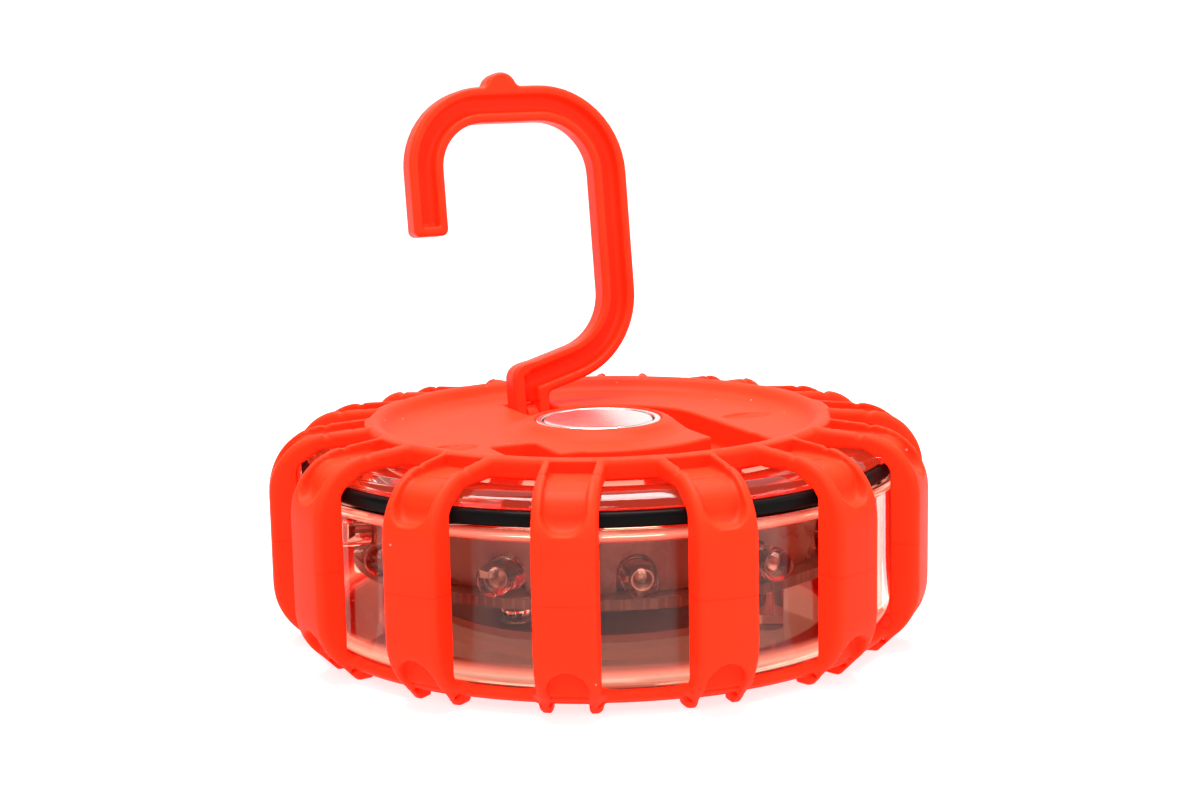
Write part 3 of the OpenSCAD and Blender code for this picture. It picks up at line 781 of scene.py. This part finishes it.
def jacket_field(r, a, z):
    """The jacket: a disc and ribs in plan joined with fillets, cut to the ribs' outline, hollowed for the
    case, with the top's recess, collar, slot and dimples, the ribs' scoops and arches, and the base ring."""
    sizes = bpy.context.scene.flare_sizes
    half = sizes.rib_width / MM / 2
    edge = sizes.rib_edge / MM
    pitch = 360.0 / sizes.rib_count
    t = np.radians((a - RIB_PHASE + pitch / 2) % pitch - pitch / 2)
    across = np.abs(r * np.sin(t))
    x, y, _ = from_round(r, a, 0)

    outline = outline_distance(rib_outline(), r, z)
    outline = rounded_and(outline, GROOVE_SIZE - np.hypot(r - GROOVE_R, z - GROOVE_Z), 0.3)
    plan = filleted_or(r - RIM_R, across - half, sizes.rim_fillet / MM)
    body = rounded_and(plan, outline, edge)
    body = rounded_and(body, -outline_distance(CAVITY, r, z), 0.3)

    scoop = np.hypot(across, np.minimum(z - SCOOP_Z, 0)) - SCOOP_HALF
    scoop = rounded_and(scoop, outline_distance(SCOOP_FLOOR, r, z), 0.5)
    body = rounded_and(body, -scoop, 0.35)
    pocket = rounded_and(across - POCKET_HALF, FLOOR_Z - z, 0.4)
    pocket = np.maximum(pocket, np.maximum(RIM_R + 0.25 - r, r - POCKET_R))
    body = rounded_and(body, -pocket, 0.3)
    arch = np.hypot(across, np.maximum(z - ARCH_Z, 0)) - ARCH_HALF
    body = rounded_and(body, -rounded_and(arch, outline_distance(ARCH_BACK, r, z), 0.5), 0.4)
    body = rounded_and(body, -np.maximum(across - ARCH_SLIT_HALF, z - RING_Z), 0.4)

    # the sunken floor inside the rim, and the collar round the magnet
    slope = (RIM_TOP - FLOOR_Z) / 2.0
    recess = rounded_and(FLOOR_Z - z, (r - RECESS_R - (z - FLOOR_Z) / slope) * 0.74, 0.9)
    collar = rounded_and(z - FLOOR_Z - COLLAR_H, ((r - COLLAR_R) * 1.5 + (z - FLOOR_Z) * 2.4) / 2.83, 0.5)
    body = rounded_and(body, -rounded_and(recess, -collar, 0.8), 0.5)
    body = rounded_and(body, CUP_R + 0.12 - r, 0.25)
    slot = rounded_and(slot_outline(x, y), SLOT_Z - z, 0.5)
    body = rounded_and(body, -slot, 0.45)
    pit = np.maximum(box_distance(x, y, FOOT_X, 22.95, FOOT_W / 2 + 0.45, 2.95), SLAB_Z - 1 - z)
    body = np.maximum(body, -pit)
    for cx, cy in DIMPLES:
        in_plan = ((x - cx) / DIMPLE_LONG) ** 2 + ((y - cy) / DIMPLE_WIDE) ** 2
        dimple = (np.sqrt(in_plan + ((z - FLOOR_Z) / DIMPLE_DEEP) ** 2) - 1) * DIMPLE_DEEP
        body = rounded_and(body, -dimple, 0.1)

    ring = outline_distance(
        [[36.4, RING_Z + 0.4], [45.9, RING_Z + 0.4], [46.8, RING_Z + 1.2], [46.8, RING_TOP - 0.4],
         [45.9, RING_TOP - 0.4], [44.3, CASE_Z - 0.52], [36.4, CASE_Z - 0.52]], r, z) - 0.4
    # a wide fillet where the ring's top meets a rib's side, a small one elsewhere
    wide = np.clip((z - 2.4) / 1.0, 0, 1) * np.clip((across - 3.5) / 0.9, 0, 1)
    joined_up = filleted_or(body, ring, 0.5 + 1.9 * wide)
    return np.maximum(joined_up, np.where(z < 20, -outline_distance(CASE_ROOM, r, z), -FAR))


class FLARE_OT_jacket(bpy.types.Operator):
    """Build the soft jacket: its crown, its ribs and its base ring"""

    bl_idname = "flare.jacket"
    bl_label = "Jacket"

    def execute(self, context):
        finish = materials()["jacket_rubber"]
        step = context.scene.flare_sizes.grid_step / MM
        sector = 360.0 / context.scene.flare_sizes.rib_count
        # closer turns near the ribs' sides and fins, wider ones across the windows and the ribs' middles
        half = np.concatenate(
            [np.linspace(0, 2.6, 4)[:-1], np.linspace(2.6, 8.2, 11), np.linspace(9.6, sector / 2, 3)])
        one = np.concatenate([-half[:0:-1], half[:-1]])
        turns = np.concatenate([RIB_PHASE + k * sector + one for k in range(context.scene.flare_sizes.rib_count)])
        split = RIM_R - 1.5

        def outer(r, a, z):
            return np.maximum(jacket_field(r, a, z), split - r)

        radii = np.concatenate([[split - 0.3, split - 0.02], np.arange(split + 0.3, 53.4, step * 1.15)])
        low = np.arange(-0.45, 9.2, step * 1.15)
        high = np.arange(26.0, RIM_TOP + 0.9, step)
        middle = np.linspace(low[-1] + 1.2, 25.2, 13)
        points, quads, normals = moulded_surface(
            outer, (radii, turns, np.concatenate([low, middle, high])), from_round, to_round, 1, jacket_field)
        ribs = new_piece("jacket_ribs_and_ring", points, quads, finish, normals,
                         replaces=("jacket_ribs", "jacket_base_ring"))

        def inner(r, a, z):
            sink = 0.05 * np.clip((r - split - 0.1) / 0.4, 0, 1)
            return np.maximum(jacket_field(r, a, z) + sink, r - split - 0.8)

        radii = np.concatenate([np.arange(CUP_R - 0.4, split + 0.9, step * 1.1), [split + 1.1]])
        turns = np.arange(0.0, 360.0, 1.0)
        heights = np.concatenate([[SLAB_Z - 0.5], np.arange(SLAB_Z - 0.15, RIM_TOP + 0.9, step)])
        points, quads, normals = moulded_surface(
            inner, (radii, turns, heights), from_round, to_round, 1, jacket_field)
        crown = new_piece("jacket_crown_top", points, quads, finish, normals,
                          replaces=("jacket_crown",))
        self.report({"INFO"}, f"jacket {len(ribs.data.polygons)} and {len(crown.data.polygons)} faces")
        return {"FINISHED"}


# ---------------------------------------------------------------- the hook
def hook_to_space(x, h, t):
    """From the hook's own plane to the raised hook: it leans back by the lean angle at the pin."""
    c, s = math.cos(LEAN), math.sin(LEAN)
    return x + 0 * h, AXIS_Y + h * s - t * c, AXIS_Z + h * c + t * s


def hook_from_space(x, y, z):
    """Back to the hook's own plane."""
    c, s = math.cos(LEAN), math.sin(LEAN)
    dy, dz = y - AXIS_Y, z - AXIS_Z
    return x, dy * s + dz * c, -dy * c + dz * s


def hook_field(x, h, t):
    """The hook: its outline given a thickness with rounded edges, a channel along the front, a gap between
    two prongs at the foot, and the pin's hole."""
    edge = bpy.context.scene.flare_sizes.hook_edge / MM
    heel = np.hypot(h, t) - BAR_T / 2
    slab = np.abs(t) - BAR_T / 2
    outline = hook_outline(x, h)
    body = rounded_and(outline, slab, edge)
    body = np.maximum(body, np.where(h < 0, heel, -FAR))
    along = path_distance(hook_path(), x, h)
    channel = np.maximum(along - 1.45, np.where(x < TIP_BEND_X, TIP_H + 1.6 - h, -FAR))
    channel = np.maximum(channel, np.where(h < 16, FOOT_X - 1.1 - x, -FAR))
    channel = np.minimum(channel, box_distance(x, h, FOOT_X, 3.4, 1.1, 3.5))
    body = rounded_and(body, -rounded_and(channel, BAR_T / 2 - 2.4 - t, 1.0), 0.5)
    gap = np.maximum(np.abs(x - FOOT_X) - 1.1, h - 2.5)
    body = rounded_and(body, -gap, 0.3)
    return np.maximum(body, 1.05 - np.hypot(h, t))


class FLARE_OT_hook(bpy.types.Operator):
    """Build the folding hook"""

    bl_idname = "flare.hook"
    bl_label = "Hook"

    def execute(self, context):
        step = 0.42
        axes = (np.arange(-21.6, 19.2, step), np.arange(-2.6, 58.8, step), np.linspace(-2.5, 2.5, 16))
        points, quads, normals = moulded_surface(hook_field, axes, hook_to_space, hook_from_space)
        new_piece("folding_hook", points, quads, materials()["hook_plastic"], normals, HOOK,
                  replaces=("hook",))
        return {"FINISHED"}


# ---------------------------------------------------------------- case, lid, gasket and magnet
def lid_grip(height):
    """A grip on the lid's side in front: a rounded bar that bulges outwards, with closed ends."""
    shape = rounded_outline([[-3.3, -0.6], [3.3, -0.6], [3.3, 0.6], [-3.3, 0.6]], 0.5, 4)
    t = np.linspace(0, 1, 9)
    depth = 45.9 + 1.1 * np.sqrt(np.clip(1 - (1 - t) ** 2, 0, 1))
    shrink = 1 - 0.12 * t ** 6
    a = shape[:, 0][:, None] * shrink / 46.0
    r = np.broadcast_to(depth, a.shape)
    grid = np.stack([r * np.sin(a), -r * np.cos(a), height + shape[:, 1][:, None] * shrink + 0 * a], axis=2)
    n, m = grid.shape[:2]
    i, j = np.arange(n)[:, None], np.arange(m - 1)[None, :]
    after = (i + 1) % n
    quads = np.stack([i * m + j, after * m + j, after * m + j + 1, i * m + j + 1], axis=2).reshape(-1, 4).tolist()
    caps = [[k * m for k in range(n)][::-1], [k * m + m - 1 for k in range(n)]]
    return grid.reshape(-1, 3), quads + caps


class FLARE_OT_case(bpy.types.Operator):
    """Build the clear case, its screw posts, the clear lid and the black gasket"""

    bl_idname = "flare.case"
    bl_label = "Case"

    def execute(self, context):
        found = materials()
        z0, z1 = float(case_low[2]), float(case_high[2])
        wall = np.concatenate([
            [[8.32, z0]], arc(43.0, z0 + 3.2, 3.2, -90, 0, 12), [[46.2, 25.0], [47.4, 25.2], [47.4, 25.9]],
            [[47.0, 26.05], [47.4, 26.2], [47.4, z1], [44.4, z1]], arc(42.8, z0 + 3.4, 1.6, 0, -90, 8),
            [[8.32, z0 + 1.8]],
        ])
        parts = [revolved(rounded_outline(wall, 0.25, 3), 288)]
        tall = float(board_low[2]) - 0.12 - z0 - 1.75
        post = [[0.95, 2.0], [0.95, tall], [2.6, tall], [2.6, 0.0], [0.0, 0.0], [0.0, 2.0]]
        for k in range(3):
            p, f = revolved(rounded_outline(post, 0.15, 2), 32)
            parts.append((turned(p + np.array([0, -31.0, z0 + 1.75]), 30 + 120 * k), f))
        points, faces = joined(parts)
        new_piece("clear_case", points, faces, found["clear_plastic"],
                  replaces=("case_body",))

        g0, g1 = float(gasket_low[2]), float(gasket_high[2])
        skirt = 44.28
        lid = [
            [0, SLAB_Z - 1.42], [37.4, SLAB_Z - 1.42], [skirt - 1.6, SLAB_Z - 0.52], [skirt - 1.6, 24.4],
            [skirt, 24.4], [skirt, g1 + 0.12], [46.2, g1 + 0.12], [46.2, 29.8], [45.4, 30.75], [43.6, LID_TOP],
            [RIM_R - 0.4, LID_TOP], [RIM_R - 0.4, SLAB_Z - 0.12], [0, SLAB_Z - 0.12],
        ]
        parts = [revolved(rounded_outline(lid, [0] + [0.3] * 11 + [0], 3), 288)]
        points, faces = lid_grip(g1 + 0.95)
        parts += [(turned(points, 45 + 90 * k), faces) for k in range(4)]
        points, faces = joined(parts)
        new_piece("clear_lid", points, faces, found["clear_lid"], replaces=("case_lid",))

        seal = [[44.45, g0], [46.9, g0], [47.2, g0 + 0.5], [47.2, g1 - 0.5], [46.9, g1], [44.45, g1]]
        points, faces = revolved(rounded_outline(seal, 0.3, 4), 288)
        new_piece("seal_ring", points, faces, found["gasket_rubber"],
                  replaces=("lid_gasket",))
        return {"FINISHED"}


class FLARE_OT_magnet(bpy.types.Operator):
    """Build the pot magnet: a plated cup and the disc in it"""

    bl_idname = "flare.magnet"
    bl_label = "Magnet"

    def execute(self, context):
        found = materials()
        low, top = float(cup_low[2]), float(cup_high[2])
        cup = [[0, low], [CUP_R, low], [CUP_R, top], [CUP_R - 1.0, top], [CUP_R - 1.0, low + 1.4], [0, low + 1.4]]
        points, faces = revolved(rounded_outline(cup, [0, 0.4, 0.25, 0.25, 0.2, 0], 4), 160)
        new_piece("magnet_pot", points, faces, found["nickel_plate"],
                  replaces=("magnet_cup",))
        z0, z1 = float(disc_low[2]), float(disc_high[2])
        r = float(disc_high[0])
        disc = [[0, z0], [r, z0], [r, z1 - 0.3], [r - 0.3, z1], [r - 2.5, z1 - 0.02], [0, z1 - 0.06]]
        points, faces = revolved(rounded_outline(disc, [0, 0.1, 0.2, 0.25, 1.0, 0], 5), 160)
        new_piece("magnet_face", points, faces, found["nickel_plate"],
                  replaces=("magnet_disc",))
        return {"FINISHED"}


# ---------------------------------------------------------------- lamps
def lamp_lens(length, steps):
    """A 5 mm lamp's lens turned about its own +Z: flange, barrel and round tip, with its base at zero."""
    profile = np.concatenate([
        [[0, 0], [2.8, 0], [2.8, 0.9], [2.5, 1.05]], arc(0, length - 2.5, 2.5, 0, 90, 12)[:-1], [[0, length]]])
    radii = [0, 0.15, 0.12, 0.1] + [0] * 13
    return revolved(rounded_outline(profile, radii, 2), steps)


def lamp_frame(length):
    """What shows inside a lens: a cup on its anvil, a thinner post beside it, both down to the base."""
    cup = [[0, 0], [0.55, 0.1], [0.95, 1.15], [0.78, 1.2], [0.42, 0.5], [0, 0.45]]
    p, f = revolved(rounded_outline(cup, 0.05, 2), 20)
    top = length - 4.4
    parts = [(p + np.array([0.15, 0, top]), f), block((-0.5, -0.25, 0.2), (0.8, 0.25, top + 0.3)),
             block((-1.35, -0.25, 0.2), (-0.85, 0.25, top + 0.9)), block((0.5, -0.25, 0.2), (1.5, 0.25, 1.6))]
    return joined(parts)


def aimed(points, turn, base, z):
    """A lamp's own points set with its base at a radius and its axis pointing outwards at a turn."""
    out = np.stack([points[:, 0], -(base + points[:, 2]), z + points[:, 1]], axis=1)
    return turned(out, turn)


class FLARE_OT_lamps(bpy.types.Operator):
    """Build the side and downward lamps with the frames inside their lenses"""

    bl_idname = "flare.lamps"
    bl_label = "Lamps"

    def execute(self, context):
        found = materials()
        steps = context.scene.flare_sizes.lamp_steps
        low, high = box_mm("side_led_1")
        down_at = np.array([0, -22.0, float(board_low[2])])
        frames = []

        def side(points, turn):
            return aimed(points, turn, 35.0, (low[2] + high[2]) / 2)

        def down(points, turn):
            return turned(points * np.array([1.0, -1.0, -1.0]) + down_at, turn)

        for name, node, long, count, start, place in (
                ("side_lens", "side_led", 8.4, 12, -16.0, side), ("down_lens", "white_led", 7.6, 3, 60.0, down)):
            lens, faces = lamp_lens(long, steps)
            inner, inner_faces = lamp_frame(long)
            for k in range(count):
                turn = start + 360.0 / count * k
                new_piece(f"{name}_{k + 1}", place(lens, turn), faces, found["led_lens"],
                          replaces=(f"{node}_{k + 1}",))
                frames.append((place(inner, turn), inner_faces))
        points, faces = joined(frames)
        new_piece("lamp_frames", points, faces, found["lamp_frame"])
        return {"FINISHED"}


class FLARE_OT_inside(bpy.types.Operator):
    """Give every piece that is kept from the CAD its own finish"""

    bl_idname = "flare.inside"
    bl_label = "Inside finishes"

    def execute(self, context):
        found = materials()
        slots = {s["node"]: s["material_slot"] for s in frame["record"]["subparts"]}
        for node, piece in frame["nodes"].items():
            finish = found.get(slots[node])
            if finish is None:
                raise RuntimeError(f"no finish for {slots[node]}")
            for place in piece.material_slots:
                place.material = finish
            if not piece.material_slots:
                raise RuntimeError(f"{node} has no material slot")
        return {"FINISHED"}


# ---------------------------------------------------------------- stage
class FLARE_OT_stage(bpy.types.Operator):
    """Set the floor, the soft lights and the camera"""

    bl_idname = "flare.stage"
    bl_label = "Stage"

    def execute(self, context):
        scene = context.scene
        t = np.linspace(0, 1, 40)
        run = np.concatenate([np.linspace(-1.6, 1.0, 8), 1.0 + 0.6 * np.sin(t * math.pi / 2), [1.6]])
        rise = np.concatenate([np.zeros(8), 0.6 - 0.6 * np.cos(t * math.pi / 2), [2.6]])
        x = np.array([-2.6, 2.6])
        turn = math.radians(-24.0)
        grid = np.stack([x[None, :] * math.cos(turn) - run[:, None] * math.sin(turn),
                         x[None, :] * math.sin(turn) + run[:, None] * math.cos(turn),
                         np.broadcast_to(rise[:, None] - 0.00005, (len(run), 2))], axis=2)
        i = np.arange(len(run) - 1)
        quads = np.stack([2 * i, 2 * i + 1, 2 * i + 3, 2 * i + 2], axis=1)
        mesh = bpy.data.meshes.new("studio_floor")
        mesh.from_pydata(grid.reshape(-1, 3).tolist(), [], quads.tolist())
        mesh.shade_smooth()
        floor = bpy.data.objects.new("studio_floor", mesh)
        scene.collection.objects.link(floor)
        material, tree, shader, at = start_material("studio_floor_finish")
        colour = tuple(scene.flare_colours.floor)
        tree.links.new(mix_colour(tree, noise_node(tree, at, 6.0), colour, scaled(colour, 0.98)),
                       shader.inputs["Base Color"])
        shader.inputs["Roughness"].default_value = 0.9
        set_glow(tree, shader, (1.0, 1.0, 1.0), 0.75)
        mesh.materials.append(material)

        scene.view_settings.view_transform = "Standard"
        world = bpy.data.worlds.new("soft_studio")
        world.use_nodes = True
        background = world.node_tree.nodes["Background"]
        background.inputs["Color"].default_value = (1, 1, 1, 1)
        background.inputs["Strength"].default_value = 0.3
        scene.world = world

        def lamp(name, place, size, power, target=(0, 0, 0.03)):
            light = bpy.data.lights.new(name, "AREA")
            light.shape = "RECTANGLE"
            light.size, light.size_y = size
            light.energy = power
            holder = bpy.data.objects.new(name, light)
            holder.location = place
            holder.rotation_euler = (Vector(target) - Vector(place)).to_track_quat("-Z", "Y").to_euler()
            scene.collection.objects.link(holder)

        lamp("key_light", (-0.55, -0.75, 0.85), (0.6, 0.6), 7.0)
        lamp("fill_light", (0.75, -0.65, 0.55), (0.5, 0.7), 4.0)
        lamp("top_light", (0.0, 0.15, 1.1), (0.8, 0.8), 30.0)

        # the camera stands 13.2 degrees above the horizon, 24 degrees round from the hook's front
        distance, up, round_z, roll = 340.0, math.radians(13.2), math.radians(-24.0), math.radians(1.09)
        lens, aim_up, aim_left = 63.285, 0.0566485, 0.0000948
        middle = Vector((0, 0, 17.3))
        back = Vector((math.sin(round_z) * math.cos(up), -math.cos(round_z) * math.cos(up), math.sin(up)))
        place = middle + back * distance
        right = Vector((math.cos(round_z), math.sin(round_z), 0))
        above = back.cross(right)
        right, above = (right * math.cos(roll) - above * math.sin(roll),
                        above * math.cos(roll) + right * math.sin(roll))
        aim = -back + above * aim_up - right * aim_left
        aim.normalize()
        side = aim.cross(above).normalized()
        top = side.cross(aim)
        camera = bpy.data.cameras.new("flare_camera")
        camera.sensor_width = 36.0
        camera.lens = lens
        camera.clip_start = 0.01
        holder = bpy.data.objects.new("flare_camera", camera)
        spin = Matrix((side, top, -aim)).transposed()
        holder.matrix_world = Matrix.Translation(place * MM) @ spin.to_4x4()
        scene.collection.objects.link(holder)
        scene.camera = holder
        return {"FINISHED"}


class FLARE_PT_panel(bpy.types.Panel):
    """Sidebar list of the flare's pieces"""

    bl_idname = "FLARE_PT_panel"
    bl_label = "Road flare"
    bl_space_type = "VIEW_3D"
    bl_region_type = "UI"
    bl_category = "Flare"

    def draw(self, context):
        column = self.layout.column()
        for settings in (context.scene.flare_sizes, context.scene.flare_colours):
            for name in settings.__annotations__:
                column.prop(settings, name)
        for operator in OPERATORS:
            column.operator(operator.bl_idname)


OPERATORS = (FLARE_OT_inside, FLARE_OT_jacket, FLARE_OT_hook, FLARE_OT_case, FLARE_OT_magnet, FLARE_OT_lamps,
             FLARE_OT_stage)
CLASSES = (FlareSizes, FlareColours, *OPERATORS, FLARE_PT_panel)


def register():
    for cls in CLASSES:
        bpy.utils.register_class(cls)
    bpy.types.Scene.flare_sizes = bpy.props.PointerProperty(type=FlareSizes)
    bpy.types.Scene.flare_colours = bpy.props.PointerProperty(type=FlareColours)


def unregister():
    del bpy.types.Scene.flare_colours
    del bpy.types.Scene.flare_sizes
    for cls in reversed(CLASSES):
        bpy.utils.unregister_class(cls)


def main():
    """Build everything."""
    register()
    for operator in OPERATORS:
        family, name = operator.bl_idname.split(".")
        getattr(getattr(bpy.ops, family), name)()


if __name__ == "__main__":
    main()
